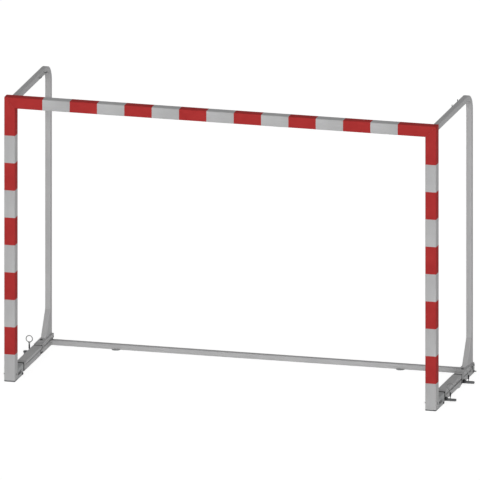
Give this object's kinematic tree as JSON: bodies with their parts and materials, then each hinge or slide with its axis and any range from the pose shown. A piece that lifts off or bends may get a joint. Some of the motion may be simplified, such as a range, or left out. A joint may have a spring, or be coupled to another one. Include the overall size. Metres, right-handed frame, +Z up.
{
  "type": "handball goal",
  "caption": "Free-standing handball goal: banded square frame, net hoops, ground frame with anchor lugs and ring bolts.",
  "frame": {"origin": "on the floor, at the middle of the goal's width and of its depth", "axes": "+X along the crossbar to the right seen from the pitch, +Y towards the back of the net space, +Z up"},
  "size_m": [3.3, 1.09, 2.08],
  "materials": {
    "banded_profile": "satin anodised, with red powder-coated bands",
    "anodised_tube": "satin anodised",
    "cast_fitting": "as cast, blasted",
    "galvanised_steel": "hot-dip galvanised",
    "zinc_steel": "zinc plated",
    "dark_polyamide": "moulded, fine grain",
    "black_steel": "black powder coat"
  },
  "bodies": {
    "goal": {"crossbar": "banded_profile", "rear_bar": "anodised_tube", "crossbar_hooks": "dark_polyamide", "left_post": "banded_profile", "right_post": "banded_profile", "left_ground_rail": "anodised_tube", "right_ground_rail": "anodised_tube", "left_rear_rail": "anodised_tube", "right_rear_rail": "anodised_tube", "left_hoop": "anodised_tube", "right_hoop": "anodised_tube", "left_wedge_foot": "anodised_tube", "right_wedge_foot": "anodised_tube", "left_corner_connector": "cast_fitting", "right_corner_connector": "cast_fitting", "left_front_nose": "cast_fitting", "right_front_nose": "cast_fitting", "left_rear_nose": "cast_fitting", "right_rear_nose": "cast_fitting", "left_hoop_top_plug": "cast_fitting", "right_hoop_top_plug": "cast_fitting", "left_hoop_foot_plug": "cast_fitting", "right_hoop_foot_plug": "cast_fitting", "left_foot_bracket": "galvanised_steel", "right_foot_bracket": "galvanised_steel", "left_floor_plate": "galvanised_steel", "right_floor_plate": "galvanised_steel", "left_corner_plate": "zinc_steel", "right_corner_plate": "zinc_steel", "left_post_bolt": "zinc_steel", "right_post_bolt": "zinc_steel", "left_side_hook": "zinc_steel", "right_side_hook": "zinc_steel", "left_post_cap": "dark_polyamide", "right_post_cap": "dark_polyamide", "left_rail_end_cap": "dark_polyamide", "right_rail_end_cap": "dark_polyamide", "left_post_hooks": "dark_polyamide", "right_post_hooks": "dark_polyamide", "left_hoop_hooks": "dark_polyamide", "right_hoop_hooks": "dark_polyamide", "left_cross_pin": "black_steel", "right_cross_pin": "black_steel", "left_front_joint": "black_steel", "right_front_joint": "black_steel", "left_rear_joint": "black_steel", "right_rear_joint": "black_steel", "left_anchor_lug_front": "black_steel", "right_anchor_lug_front": "black_steel", "left_anchor_lug_rear": "black_steel", "right_anchor_lug_rear": "black_steel"},
    "left_front_ring_bolt": {"left_ring_bolt_front": "zinc_steel", "left_bolt_sleeve_front": "black_steel"},
    "left_rear_ring_bolt": {"left_ring_bolt_rear": "zinc_steel", "left_bolt_sleeve_rear": "black_steel"},
    "right_front_ring_bolt": {"right_ring_bolt_front": "zinc_steel", "right_bolt_sleeve_front": "black_steel"},
    "right_rear_ring_bolt": {"right_ring_bolt_rear": "zinc_steel", "right_bolt_sleeve_rear": "black_steel"}
  },
  "joints": [
    {"name": "left_front_ring_bolt_travel", "type": "slide", "parent": "goal", "child": "left_front_ring_bolt", "axis": [0, 0, 1], "range_m": [-0.017, 0.03]},
    {"name": "left_rear_ring_bolt_travel", "type": "slide", "parent": "goal", "child": "left_rear_ring_bolt", "axis": [0, 0, 1], "range_m": [-0.017, 0.03]},
    {"name": "right_front_ring_bolt_travel", "type": "slide", "parent": "goal", "child": "right_front_ring_bolt", "axis": [0, 0, 1], "range_m": [-0.017, 0.03]},
    {"name": "right_rear_ring_bolt_travel", "type": "slide", "parent": "goal", "child": "right_rear_ring_bolt", "axis": [0, 0, 1], "range_m": [-0.017, 0.03]}
  ]
}
